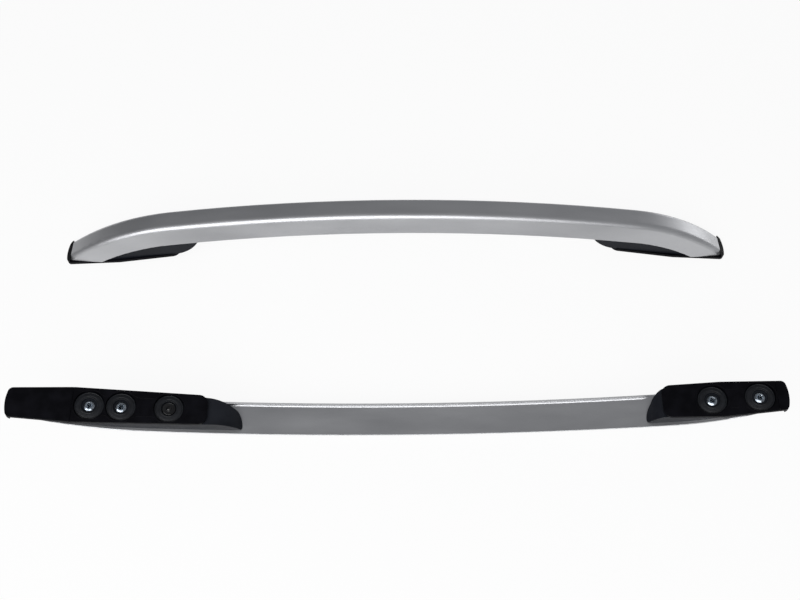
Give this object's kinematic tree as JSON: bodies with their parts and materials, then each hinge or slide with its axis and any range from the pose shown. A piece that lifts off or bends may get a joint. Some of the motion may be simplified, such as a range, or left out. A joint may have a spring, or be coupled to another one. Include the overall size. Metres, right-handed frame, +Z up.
{
  "type": "pair of roof rails",
  "caption": "Pair of arched aluminium roof rails on black moulded feet with rubber soles and threaded roof fixings, one upright and one upturned.",
  "frame": {"origin": "on the floor, under the middle of the pair", "axes": "+X along the rails towards their rear ends, +Y from the upturned rail to the upright one, +Z up"},
  "size_m": [1.202, 0.4422, 0.1228],
  "materials": {
    "bar": "satin anodised silver",
    "foot": "fine moulded grain, black",
    "rubber": "matt black moulded rubber",
    "seal": "dull grey-black rubber",
    "bush": "turned, bright zinc",
    "peg": "smooth black",
    "screw": "zinc plated"
  },
  "bodies": {
    "root": {"left_bar": "bar", "left_front_bushes": "bush", "left_front_foot": "foot", "left_front_foot_screws": "screw", "left_front_gasket": "rubber", "left_front_nut_plate": "screw", "left_front_seals": "seal", "left_front_tip_pad": "rubber", "left_rear_bushes": "bush", "left_rear_foot": "foot", "left_rear_foot_screws": "screw", "left_rear_gasket": "rubber", "left_rear_nut_plate": "screw", "left_rear_seals": "seal", "left_rear_tip_pad": "rubber", "right_bar": "bar", "right_front_bushes": "bush", "right_front_foot": "foot", "right_front_foot_screws": "screw", "right_front_gasket": "rubber", "right_front_nut_plate": "screw", "right_front_peg": "peg", "right_front_seals": "seal", "right_front_tip_pad": "rubber", "right_rear_bushes": "bush", "right_rear_foot": "foot", "right_rear_foot_screws": "screw", "right_rear_gasket": "rubber", "right_rear_nut_plate": "screw", "right_rear_seals": "seal", "right_rear_tip_pad": "rubber"}
  },
  "joints": []
}
